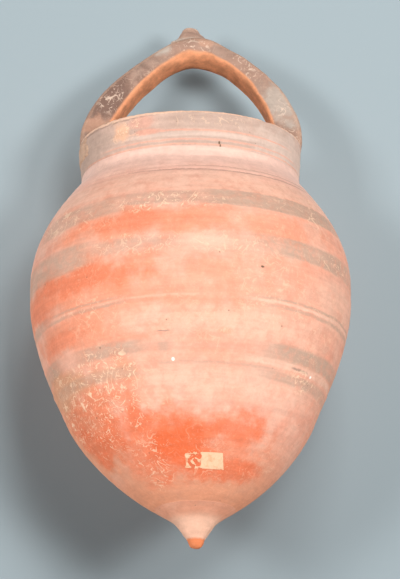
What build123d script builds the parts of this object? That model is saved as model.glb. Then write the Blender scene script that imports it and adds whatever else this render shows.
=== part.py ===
"""Pointed-base amphora with a basket handle, built as a potter builds it.

The jar is hand-made pottery. Its wall was thrown in three sections, the toe, the strap handle and the
knob were shaped by themselves, and everything was joined with wet clay before firing. Each of those
pieces is one solid here, and the joints between them are the potter's own: bevelled (scarfed) edges
between the wall sections, a tenon on the toe, notches in the lip for the feet of the handle and a
pressed wad of clay under each foot.

Frame: +Z up along the jar's axis, origin at the tip of the toe, the handle arching from -X to +X.
Units are millimetres.
"""

import os
from math import cos, degrees, radians, sin

from build123d import *

# Toe: the solid point under the jar.
toe_length = 13.5
toe_root_radius = 11.5
toe_tip_radius = 4.2
toe_tip_rounding = 2.0  # height of the blunt, worn end
tenon_radius = 6.0
tenon_end_radius = 4.8
tenon_length = 4.5

# Body: the thrown wall from the toe to the foot of the neck.
belly_radius = 72.4
belly_height = 112.0
shoulder_rise = 55.5  # belly to the foot of the neck
wall = 5.0
base_thickness = 9.0
bowl_start_slope = (1.75, 1.0)  # direction of the wall where it leaves the toe, as (outward, up)
bowl_shares = ((0.166, 0.061), (0.373, 0.162), (0.634, 0.345), (0.837, 0.609), (0.934, 0.772))
shoulder_swell = 12.3  # how far the belly carries straight up before it turns in
shoulder_slope = (23.2, 26.8)  # how the shoulder arrives at the neck, as (inward, up)

# Neck and lip.
neck_foot_radius = 49.6
neck_height = 20.5
neck_flare = 0.8  # how much wider the lip is than the neck's foot
lip_thickness = 5.2
neck_foot_blend = 7.0
lip_rounding = 1.6

# Seams between the thrown sections: each is a bevel through the wall, rising inwards.
body_seam_drop = 18.0  # the body's seam below the belly
neck_seam_rise = 4.0  # the neck's seam above the foot of the neck
seam_slope = 0.8

# Strap handle.
strap_width = 17.0
strap_rounding = 2.4
strap_crown_thickness = 6.2
arch_rise = 47.8  # lip to the top of the crown
crown_shift = 2.0  # the crown leans this far towards +X
foot_thickness_left = 12.0
foot_thickness_right = 13.0
seat_depth = 3.0  # how far the handle's feet are let into the lip
# How the arch bends, outside and inside: how far each side climbs straight up, as a share of the rise,
# and how far the crown runs level, as a share of the way back to the foot.
outer_bend_left = (0.45, 0.45)
outer_bend_right = (0.45, 0.54)
inner_bend_left = (0.30, 0.60)
inner_bend_right = (0.27, 0.68)

# Knob on the crown.
knob_offset = 0.5
knob_height = 10.0  # above the crown
knob_setback = 0.5  # from the strap's edges to the knob's
knob_waist_radius = 4.2  # pulls the knob's flanks inwards
knob_tip_radius = 2.5
knob_tip_drop = 1.2
knob_skirt = 1.4  # how far the knob's edge wraps down over the crown

# Clay wad pressed into the corner under each foot of the handle, inside the neck.
wad_depth = 8.5
wad_setback = 0.5  # from the edges of the foot above to the wad's
wad_hollow = 0.35  # share of the wad that its hollow face keeps

# Paper label, partly torn away, low on the front.
label_width = 16.0
label_height = 9.0
label_thickness = 0.25
label_share = 0.245  # how far up the bowl's outline it sits
label_turn = 7.0  # degrees towards +X from the front

# Places that follow from the sizes above.
lip_radius = neck_foot_radius + neck_flare
mouth_radius = lip_radius - lip_thickness
neck_foot_height = belly_height + shoulder_rise
body_seam_height = belly_height - body_seam_drop
knob_base_radius = strap_width / 2 - knob_setback
rim_height = neck_foot_height + neck_height
crown_height = rim_height + arch_rise
seat_height = rim_height - seat_depth
neck_seam_height = neck_foot_height + neck_seam_rise
floor_height = toe_length + base_thickness
beyond = 30.0  # how far cutting shapes run past what they cut


# ---------------------------------------------------------------- outline of the wall
def share_point(across, up):
    """A point of the bowl, as shares of the way from the toe's root to the belly."""
    radius = toe_root_radius + across * (belly_radius - toe_root_radius)
    return (radius, toe_length + up * (belly_height - toe_length))


def inset(curve, share, depth):
    """The point that lies depth inside the wall, square to the curve."""
    point, along = curve @ share, curve % share
    return (point.X - depth * along.Y, point.Y + depth * along.X)


with BuildLine() as outline:
    bowl_curve = Spline(
        (toe_root_radius, toe_length),
        *[share_point(across, up) for across, up in bowl_shares],
        (belly_radius, belly_height),
        tangents=(bowl_start_slope, (0, 1)),
    )
    shoulder_curve = Bezier(
        (belly_radius, belly_height),
        (belly_radius, belly_height + shoulder_swell),
        (neck_foot_radius + shoulder_slope[0], neck_foot_height - shoulder_slope[1]),
        (neck_foot_radius, neck_foot_height),
    )

with BuildSketch(Plane.XZ) as wall_section:
    with BuildLine():
        add(bowl_curve)
        add(shoulder_curve)
        Line((neck_foot_radius, neck_foot_height), (lip_radius, rim_height))
        Line((lip_radius, rim_height), (mouth_radius, rim_height))
        inner_foot = (mouth_radius, neck_foot_height - wall / 2)
        Line((mouth_radius, rim_height), inner_foot)
        inner_belly = (belly_radius - wall, belly_height)
        Spline(
            inner_foot,
            *[inset(shoulder_curve, share, wall) for share in (0.8, 0.6, 0.4, 0.2)],
            inner_belly,
            *[inset(bowl_curve, share, wall) for share in (0.8, 0.6, 0.4, 0.28)],
            (0, floor_height),
            tangents=((0, -1), (-1, 0)),
        )
        Line((0, floor_height), (0, toe_length))
        Line((0, toe_length), (toe_root_radius, toe_length))
    make_face()
    foot_corner = wall_section.vertices().sort_by_distance((neck_foot_radius, neck_foot_height))[0]
    fillet(foot_corner, neck_foot_blend)
    lip_corners = wall_section.vertices().group_by(Axis.Y)[-1]
    fillet(lip_corners, lip_rounding)


def seam_region(radius, height):
    """The half of the section under a bevelled seam that crosses the wall's outside at that place."""
    reach = belly_radius + beyond
    with BuildSketch(Plane.XZ) as region:
        with BuildLine():
            Polyline(
                (0, -beyond),
                (reach, -beyond),
                (reach, height - seam_slope * (reach - radius)),
                (radius - beyond, height + seam_slope * beyond),
                (0, height + seam_slope * beyond),
                close=True,
            )
        make_face()
    return region.sketch


below_body_seam = seam_region(belly_radius, body_seam_height)
below_neck_seam = seam_region(neck_foot_radius, neck_seam_height)

# ---------------------------------------------------------------- toe
with BuildPart() as toe:
    with BuildSketch(Plane.XZ):
        with BuildLine():
            Bezier((0, 0), (toe_tip_radius, 0), (toe_tip_radius, toe_tip_rounding))
            Line((toe_tip_radius, toe_tip_rounding), (toe_root_radius, toe_length))
            Polyline(
                (toe_root_radius, toe_length),
                (tenon_radius, toe_length),
                (tenon_end_radius, toe_length + tenon_length),
                (0, toe_length + tenon_length),
                (0, 0),
            )
        make_face()
    revolve(axis=Axis.Z)
toe.part.label = "toe"

# ---------------------------------------------------------------- lower and upper body, neck
with BuildPart() as lower_body:
    with BuildSketch(Plane.XZ):
        add(wall_section.sketch)
        add(below_body_seam, mode=Mode.INTERSECT)
    revolve(axis=Axis.Z)
    add(toe.part, mode=Mode.SUBTRACT)
lower_body.part.label = "lower_body"

with BuildPart() as upper_body:
    with BuildSketch(Plane.XZ):
        add(wall_section.sketch)
        add(below_body_seam, mode=Mode.SUBTRACT)
        add(below_neck_seam, mode=Mode.INTERSECT)
    revolve(axis=Axis.Z)
upper_body.part.label = "upper_body"

# ---------------------------------------------------------------- strap handle
def arch_quarter(foot_x, crown_z, bend):
    """Control points of one quarter of the arch, from the lip at foot_x up to the middle of the crown."""
    climb, level = bend
    return (
        (foot_x, rim_height),
        (foot_x, rim_height + climb * arch_rise),
        (crown_shift + level * foot_x, crown_z),
        (crown_shift, crown_z),
    )


strap_outside = (-lip_radius, lip_radius)
strap_inside = (foot_thickness_left - lip_radius, lip_radius - foot_thickness_right)
crown_under = crown_height - strap_crown_thickness
with BuildPart() as handle_strap:
    with BuildSketch(Plane.XZ):
        with BuildLine():
            Bezier(*arch_quarter(strap_outside[0], crown_height, outer_bend_left))
            Bezier(*arch_quarter(strap_outside[1], crown_height, outer_bend_right))
            Bezier(*arch_quarter(strap_inside[0], crown_under, inner_bend_left))
            Bezier(*arch_quarter(strap_inside[1], crown_under, inner_bend_right))
            for outside_x, inside_x in zip(strap_outside, strap_inside):
                Polyline(
                    (outside_x, rim_height),
                    (outside_x, seat_height),
                    (inside_x, seat_height),
                    (inside_x, rim_height),
                )
        make_face()
    extrude(amount=strap_width / 2, both=True)
    side_faces = handle_strap.faces().filter_by(Axis.Y)
    rounded = [e for f in side_faces for e in f.edges() if (e @ 0.5).Z > seat_height]
    fillet(rounded, strap_rounding)
handle_strap.part.label = "handle_strap"

with BuildPart() as neck_collar:
    with BuildSketch(Plane.XZ):
        add(wall_section.sketch)
        add(below_neck_seam, mode=Mode.SUBTRACT)
    revolve(axis=Axis.Z)
    add(handle_strap.part, mode=Mode.SUBTRACT)
neck_collar.part.label = "neck_collar"

# ---------------------------------------------------------------- knob
knob_plane = Plane((knob_offset, 0, crown_height), x_dir=(1, 0, 0), z_dir=(0, -1, 0))
with BuildPart() as handle_knob:
    with BuildSketch(knob_plane):
        with BuildLine():
            Line((0, -knob_skirt), (0, knob_height))
            tip_edge = (knob_tip_radius, knob_height - knob_tip_drop)
            Bezier((0, knob_height), (knob_tip_radius, knob_height), tip_edge)
            Bezier(tip_edge, (knob_waist_radius, knob_tip_drop), (knob_base_radius, 0))
            Line((knob_base_radius, 0), (knob_base_radius, -knob_skirt))
            Line((knob_base_radius, -knob_skirt), (0, -knob_skirt))
        make_face()
    revolve(axis=Axis((knob_offset, 0, 0), (0, 0, 1)))
    add(handle_strap.part, mode=Mode.SUBTRACT)
handle_knob.part.label = "handle_knob"


# ---------------------------------------------------------------- wads under the handle's feet
wads = []
wad_width = strap_width - 2 * wad_setback
wad_foot = seat_height - wad_depth
for label, side, foot_thickness in (
    ("handle_wad_left", -1, foot_thickness_left),
    ("handle_wad_right", 1, foot_thickness_right),
):
    wad_reach = foot_thickness - lip_thickness - wad_setback
    wall_x = side * mouth_radius
    behind_x = side * (mouth_radius + lip_thickness / 2)  # the collar trims the wad's back to its wall
    front_x = side * (mouth_radius - wad_reach)
    with BuildPart() as wad:
        with BuildSketch(Plane.XZ):
            with BuildLine():
                Bezier(
                    (front_x, seat_height),
                    (front_x, seat_height - wad_hollow * wad_depth),
                    (side * (mouth_radius - wad_hollow * wad_reach), wad_foot),
                    (wall_x, wad_foot),
                )
                Polyline(
                    (wall_x, wad_foot),
                    (behind_x, wad_foot),
                    (behind_x, seat_height),
                    (front_x, seat_height),
                )
            make_face()
        extrude(amount=wad_width / 2, both=True)
        add(neck_collar.part, mode=Mode.SUBTRACT)
    wad.part.label = label
    wads.append(wad)

# ---------------------------------------------------------------- paper label
label_centre = bowl_curve @ label_share
label_half_share = label_height / 2 / bowl_curve.length
label_shares = [label_share + step * label_half_share for step in (-1, 0, 1)]
label_arc = degrees(label_width / label_centre.X)
label_start = radians(label_turn - 90 - label_arc / 2)
label_plane = Plane(
    (0, 0, 0),
    x_dir=(cos(label_start), sin(label_start), 0),
    z_dir=(sin(label_start), -cos(label_start), 0),
)
with BuildPart() as paper_label:
    with BuildSketch(label_plane):
        with BuildLine():
            outside = [inset(bowl_curve, share, -label_thickness) for share in label_shares]
            inside = [inset(bowl_curve, share, wall / 4) for share in label_shares]
            Spline(*outside)
            Line(outside[-1], inside[-1])
            Spline(*reversed(inside))
            Line(inside[0], outside[0])
        make_face()
    revolve(axis=Axis.Z, revolution_arc=label_arc)
    add(lower_body.part, mode=Mode.SUBTRACT)
paper_label.part.label = "paper_label"

# ---------------------------------------------------------------- files
pieces = (
    toe,
    lower_body,
    upper_body,
    neck_collar,
    handle_strap,
    handle_knob,
    *wads,
    paper_label,
)
os.makedirs("parts", exist_ok=True)
for piece in pieces:
    export_step(piece.part, f"parts/{piece.part.label}.step")
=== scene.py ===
"""Looks of a pointed-base amphora with a basket handle: clay meshes and finishes round its CAD frame.

Lengths are in metres, in the frame of the CAD model: +Z up along the jar's axis, the tip of the toe at
the origin and -Y the front. A place on the wall is given by its height and by its angle round the axis,
in degrees, with 0 at the front and 90 at +X.
"""

import logging
import math
from dataclasses import dataclass, field
from enum import Enum
from typing import Iterable, Optional

import bmesh
import bpy
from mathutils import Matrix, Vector, geometry, noise


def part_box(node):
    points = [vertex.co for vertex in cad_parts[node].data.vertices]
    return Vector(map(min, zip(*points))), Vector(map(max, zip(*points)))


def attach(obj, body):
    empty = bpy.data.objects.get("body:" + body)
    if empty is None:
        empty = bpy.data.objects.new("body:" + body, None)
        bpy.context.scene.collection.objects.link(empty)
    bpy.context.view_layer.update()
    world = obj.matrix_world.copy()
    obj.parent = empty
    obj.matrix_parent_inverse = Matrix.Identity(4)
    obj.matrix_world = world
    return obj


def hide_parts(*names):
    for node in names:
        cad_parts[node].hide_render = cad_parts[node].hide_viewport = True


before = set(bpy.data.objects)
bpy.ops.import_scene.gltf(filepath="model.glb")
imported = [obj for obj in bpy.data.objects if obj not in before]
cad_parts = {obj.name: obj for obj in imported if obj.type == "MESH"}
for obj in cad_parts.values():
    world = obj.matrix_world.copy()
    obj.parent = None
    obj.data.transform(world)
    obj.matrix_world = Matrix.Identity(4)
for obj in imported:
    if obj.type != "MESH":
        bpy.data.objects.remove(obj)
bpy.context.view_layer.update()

log = logging.getLogger("amphora")
MM = 0.001
WELD = 0.001 * MM
SHARP = math.radians(38.0)
BODY = "root"
SEED = 7
Point = tuple[float, float]
Place = tuple[float, float, float]


# ---------------------------------------------------------------- small tools
def smooth_step(low: float, high: float, value: float) -> float:
    """Rise smoothly from 0 at low to 1 at high.

    Args:
        low: where the rise starts.
        high: where it ends.
        value: where it is read.

    Returns:
        The height of the rise, from 0 to 1.
    """
    share = min(max((value - low) / (high - low), 0.0), 1.0)
    return share * share * (3.0 - 2.0 * share)


def bell(distance: float) -> float:
    """Give a bell curve's height at a distance in widths."""
    return math.exp(-distance * distance)


def angle_of(place: Vector) -> float:
    """Give a place's angle round the jar's axis, in radians from the front."""
    return math.atan2(place.x, -place.y)


def around(radius: float, angle: float, height: float) -> Vector:
    """Give the place at a radius, an angle in radians from the front and a height."""
    return Vector((radius * math.sin(angle), -radius * math.cos(angle), height))


def curve_points(
    start: Point, pull_start: Point, pull_end: Point, end: Point, count: int = 48
) -> list[Point]:
    """Sample one Bezier span of an outline.

    Args:
        start: first point, as (radius, height).
        pull_start: the handle of the first point.
        pull_end: the handle of the last point.
        end: last point.
        count: how many points to give.

    Returns:
        The points, both ends among them.
    """
    knots = [Vector((p[0], p[1], 0.0)) for p in (start, pull_start, pull_end, end)]
    return [(p.x, p.y) for p in geometry.interpolate_bezier(*knots, count)]


def length_of(points: list[Point]) -> float:
    """Measure a line of points."""
    return sum(math.dist(before, after) for before, after in zip(points, points[1:]))


def evenly(points: list[Point], step: float) -> list[Point]:
    """Walk along a line of points and set new ones at even steps.

    Args:
        points: the line.
        step: the distance wanted between new points.

    Returns:
        The new points, both ends of the line among them.
    """
    lengths = [0.0]
    for before, after in zip(points, points[1:]):
        lengths.append(lengths[-1] + math.dist(before, after))
    count = max(2, round(lengths[-1] / step) + 1)
    walked, piece = [], 0
    for number in range(count):
        goal = lengths[-1] * number / (count - 1)
        while piece < len(points) - 2 and lengths[piece + 1] < goal:
            piece += 1
        span = lengths[piece + 1] - lengths[piece] or 1.0
        share = (goal - lengths[piece]) / span
        before, after = points[piece], points[piece + 1]
        walked.append(tuple(a + (b - a) * share for a, b in zip(before, after)))
    return walked


def inset(points: list[Point], depth: float) -> list[Point]:
    """Shift a line of outline points square to itself, towards the axis.

    Args:
        points: the line, climbing along the outside.
        depth: how far to shift it.

    Returns:
        The shifted points.
    """
    shifted = []
    for number, point in enumerate(points):
        before, after = points[max(number - 1, 0)], points[min(number + 1, len(points) - 1)]
        along = Vector((after[0] - before[0], after[1] - before[1])).normalized()
        shifted.append((point[0] - depth * along.y, point[1] + depth * along.x))
    return shifted


# ---------------------------------------------------------------- shape of the wall
@dataclass
class WallOutline:
    """The jar's outline in radius and height, placed by the CAD wall.

    Attributes:
        toe_height: where the bowl starts above the toe.
        belly_radius: the widest radius.
        body_seam: where the lower and upper body meet.
        neck_seam: where the neck starts.
        rim_height: the top of the lip.
        belly_height: where the jar is widest.
        toe_root: the bowl's radius at the toe.
        waist: a point of the outside between bowl and flank.
        shoulder_end: a point of the outside under the neck.
        neck_foot: the height where the neck stands straight.
        neck_radius: the neck's radius there.
        lip_foot: the height where the outside starts to round into the lip.
        lip_radius: the neck's radius there.
        mouth_foot: the height where the inside starts to round into the lip.
        mouth_radius: the radius of the mouth.
        wall: how thick the wall is.
        floor_height: the floor of the inside.
        floor_radius: how far that floor reaches before the wall's inside takes over.
        outside: the line of the outside, climbing.
        inside: the line of the inside, climbing.
    """

    toe_height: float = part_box("lower_body")[0].z
    belly_radius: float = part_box("upper_body")[1].x
    body_seam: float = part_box("upper_body")[0].z
    neck_seam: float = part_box("neck_collar")[0].z
    rim_height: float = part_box("neck_collar")[1].z
    belly_height: float = 112.0 * MM
    toe_root: float = 11.5 * MM
    waist: Point = (55.0 * MM, 56.0 * MM)
    shoulder_end: Point = (51.72 * MM, 165.0 * MM)
    neck_foot: float = 171.0 * MM
    neck_radius: float = 49.6 * MM
    lip_foot: float = 186.2 * MM
    lip_radius: float = 50.4 * MM
    mouth_foot: float = 186.0 * MM
    mouth_radius: float = 45.2 * MM
    wall: float = 5.0 * MM
    floor_height: float = 22.5 * MM
    floor_radius: float = 19.0 * MM
    outside: list[Point] = field(default_factory=list)
    inside: list[Point] = field(default_factory=list)

    def __post_init__(self) -> None:
        """Draw both lines from the toe to the lip."""
        belly = (self.belly_radius, self.belly_height)
        foot = (self.neck_radius, self.neck_foot)
        bowl = curve_points(
            (self.toe_root, self.toe_height), (39.85 * MM, 28.2 * MM), (53.13 * MM, 51.36 * MM), self.waist
        )
        flank = curve_points(self.waist, (58.2 * MM, 64.0 * MM), (self.belly_radius, 92.2 * MM), belly)
        shoulder = curve_points(
            belly, (self.belly_radius, 124.0 * MM), (73.6 * MM, 139.7 * MM), self.shoulder_end
        )
        blend = curve_points(
            self.shoulder_end, (49.9 * MM, 167.1 * MM), (self.neck_radius, 168.6 * MM), foot
        )
        neck = curve_points(
            foot, (self.neck_radius, 176.0 * MM), (50.2 * MM, 181.0 * MM), (self.lip_radius, self.lip_foot)
        )
        self.outside = bowl + flank[1:] + shoulder[1:] + blend[1:] + neck[1:]
        deep = inset(evenly(bowl + flank[1:] + shoulder[1:], 2.0 * MM), self.wall)
        deep = [p for p in deep if p[0] > self.floor_radius and p[1] > self.floor_height]
        level, mouth = self.floor_height, self.mouth_radius
        floor = curve_points((0.0, level), (9.0 * MM, level), (15.0 * MM, level), deep[0], 12)
        throat = curve_points(
            deep[-1], (46.4 * MM, 163.0 * MM), (mouth, 163.5 * MM), (mouth, 168.0 * MM), 12
        )
        self.inside = floor + deep[1:] + throat[1:] + [(mouth, self.mouth_foot)]

    def radius(self, height: float) -> float:
        """Give the outside radius at a height.

        Args:
            height: the height above the tip of the toe.

        Returns:
            The radius, that of the nearer end beyond either end of the line.
        """
        for lower, upper in zip(self.outside, self.outside[1:]):
            if lower[1] <= height <= upper[1]:
                share = (height - lower[1]) / (upper[1] - lower[1] or 1.0)
                return lower[0] + (upper[0] - lower[0]) * share
        return self.outside[0][0] if height < self.outside[0][1] else self.outside[-1][0]

    def stretch(self, line: list[Point], low: float, high: float) -> list[Point]:
        """Cut out the part of a line between two heights.

        Args:
            line: the line, climbing.
            low: the lower height.
            high: the upper height.

        Returns:
            The part, with a point at each height.
        """
        kept = [p for p in line if low < p[1] < high]
        ends = []
        for height in (low, high):
            for lower, upper in zip(line, line[1:]):
                if lower[1] <= height <= upper[1] and upper[1] > lower[1]:
                    share = (height - lower[1]) / (upper[1] - lower[1])
                    ends.append((lower[0] + (upper[0] - lower[0]) * share, height))
                    break
        return [ends[0]] + kept + [ends[-1]]


@dataclass(frozen=True)
class WheelLine:
    """One ring that a tool or a fingertip left on the turning wall.

    Attributes:
        height: where it runs.
        width: how wide it is.
        relief: how far it stands out, below zero for a groove.
        patchy: how much of its relief comes and goes round the jar.
    """

    height: float
    width: float
    relief: float
    patchy: float = 0.5


WHEEL_LINES = (
    WheelLine(185.6 * MM, 0.7 * MM, -0.22 * MM),
    WheelLine(178.7 * MM, 0.8 * MM, 0.16 * MM),
    WheelLine(175.0 * MM, 0.7 * MM, 0.12 * MM),
    WheelLine(171.6 * MM, 0.7 * MM, -0.22 * MM, 0.3),
    WheelLine(168.4 * MM, 1.0 * MM, -0.15 * MM),
    WheelLine(159.2 * MM, 0.6 * MM, -0.22 * MM),
    WheelLine(157.2 * MM, 0.6 * MM, -0.2 * MM),
    WheelLine(145.8 * MM, 0.9 * MM, 0.1 * MM),
    WheelLine(136.5 * MM, 1.1 * MM, -0.1 * MM),
    WheelLine(123.8 * MM, 1.2 * MM, 0.1 * MM),
    WheelLine(115.4 * MM, 1.2 * MM, -0.1 * MM),
    WheelLine(96.6 * MM, 0.7 * MM, -0.25 * MM, 0.3),
    WheelLine(93.0 * MM, 0.8 * MM, -0.25 * MM, 0.3),
    WheelLine(80.6 * MM, 1.0 * MM, 0.12 * MM),
    WheelLine(71.6 * MM, 0.8 * MM, -0.2 * MM),
    WheelLine(69.6 * MM, 0.9 * MM, 0.22 * MM),
    WheelLine(63.4 * MM, 1.0 * MM, -0.12 * MM),
    WheelLine(45.0 * MM, 1.6 * MM, 0.1 * MM),
)


@dataclass(frozen=True)
class PottersHand:
    """How the turned shape was pushed out of true by hand, drying and use.

    Attributes:
        toe_lean: how far the toe leans to the right.
        lean_top: the height where that lean ends.
        out_of_round: how oval the jar is, as a share of its radius.
        dents: how deep its broad dents are, as a share of its radius.
        rim_dip: how much the rim sinks at its lowest.
        spiral_pitch: how far the fingers climbed in one turn of the wheel.
    """

    toe_lean: float = 2.5 * MM
    lean_top: float = 70.0 * MM
    out_of_round: float = 0.0035
    dents: float = 0.006
    rim_dip: float = 0.7 * MM
    spiral_pitch: float = 3.3 * MM

    def push(self, place: Vector) -> Vector:
        """Move a place of the true shape to where it ended up.

        Args:
            place: the place on the true shape.

        Returns:
            The place on the finished jar.
        """
        angle = angle_of(place)
        lean = self.toe_lean * (1.0 - smooth_step(0.0, self.lean_top, place.z))
        squeeze = self.out_of_round * 0.5 * (1.0 + math.cos(2.0 * angle + 0.9))
        squeeze += self.dents * max(0.0, 0.35 + noise.noise(place * 24.0))
        near_rim = smooth_step(150.0 * MM, 188.0 * MM, place.z)
        dip = self.rim_dip * near_rim * 0.5 * (1.0 + math.sin(2.0 * angle + 0.4))
        keep = 1.0 - squeeze
        return Vector((place.x * keep + lean, place.y * keep, place.z - dip))

    def wheel_relief(self, place: Vector) -> float:
        """Add up the wheel's marks at a place.

        Args:
            place: the place on the outside of the wall.

        Returns:
            How far the marks stand out there, below zero for a hollow.
        """
        angle = angle_of(place)
        spiral = place.z / self.spiral_pitch + angle / (2.0 * math.pi)
        drift = noise.noise(place * 30.0)
        strength = 0.5 + 0.5 * noise.noise(place * 17.0 + Vector((3.0, 1.0, 7.0)))
        relief = 0.05 * MM * strength * math.sin(2.0 * math.pi * (spiral + 1.6 * drift))
        relief += 0.07 * MM * noise.noise(Vector((place.x * 22.0, place.y * 22.0, place.z * 420.0)))
        relief += 0.03 * MM * noise.noise(place * 900.0)
        for line in WHEEL_LINES:
            off = (place.z - line.height - 0.5 * MM * drift) / line.width
            if abs(off) < 3.0:
                cloud = noise.noise(place * 38.0 + Vector((0, 0, line.height * 900)))
                patch = 1.0 - line.patchy * (0.5 + 0.5 * cloud)
                relief += line.relief * patch * bell(off)
        return relief


# ---------------------------------------------------------------- meshes
def add_object(name: str, data: bpy.types.ID) -> bpy.types.Object:
    """Put a new object into the scene, at the origin and unturned.

    Args:
        name: the object's name.
        data: its mesh, camera or light.

    Returns:
        The object.
    """
    made = bpy.data.objects.new(name, data)
    bpy.context.scene.collection.objects.link(made)
    return made


def mesh_object(bm: bmesh.types.BMesh, name: str, material: bpy.types.Material) -> bpy.types.Object:
    """Turn a bmesh into an object.

    Args:
        bm: the shape, freed here.
        name: the object's name.
        material: its finish.

    Returns:
        The object.
    """
    mesh = bpy.data.meshes.new(name)
    bm.to_mesh(mesh)
    bm.free()
    mesh.materials.append(material)
    return add_object(name, mesh)


def finish_piece(
    bm: bmesh.types.BMesh, name: str, node_names: Iterable[str], material: bpy.types.Material
) -> bpy.types.Object:
    """Turn a bmesh into a smooth piece that stands for its CAD nodes.

    Args:
        bm: the shape, freed here.
        name: the piece's name.
        node_names: the CAD nodes that it stands for.
        material: its finish.

    Returns:
        The piece, in place and riding on the jar's body.
    """
    bmesh.ops.remove_doubles(bm, verts=bm.verts, dist=WELD)
    for face in bm.faces:
        face.smooth = True
    for edge in bm.edges:
        if len(edge.link_faces) == 2 and edge.calc_face_angle() > SHARP:
            edge.smooth = False
    piece = mesh_object(bm, name, material)
    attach(piece, BODY)
    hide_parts(*node_names)
    log.info("%s: %d faces", name, len(piece.data.polygons))
    return piece


def turn_profile(profile: list[Point], steps: int) -> bmesh.types.BMesh:
    """Spin a closed profile of (radius, height) points into a solid of revolution.

    Args:
        profile: the points; the last joins the first unless both lie on the axis.
        steps: how many faces go round.

    Returns:
        A bmesh with outward faces.
    """
    bm = bmesh.new()
    verts = [bm.verts.new((0.0, -radius, height)) for radius, height in profile]
    edges = [bm.edges.new(pair) for pair in zip(verts, verts[1:])]
    if profile[0][0] > 0.0 or profile[-1][0] > 0.0:
        edges.append(bm.edges.new((verts[-1], verts[0])))
    bmesh.ops.spin(
        bm,
        geom=verts + edges,
        cent=(0, 0, 0),
        axis=(0, 0, 1),
        angle=2.0 * math.pi,
        steps=steps,
        use_merge=True,
    )
    bmesh.ops.remove_doubles(bm, verts=bm.verts, dist=WELD)
    bmesh.ops.recalc_face_normals(bm, faces=bm.faces)
    return bm


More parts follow.
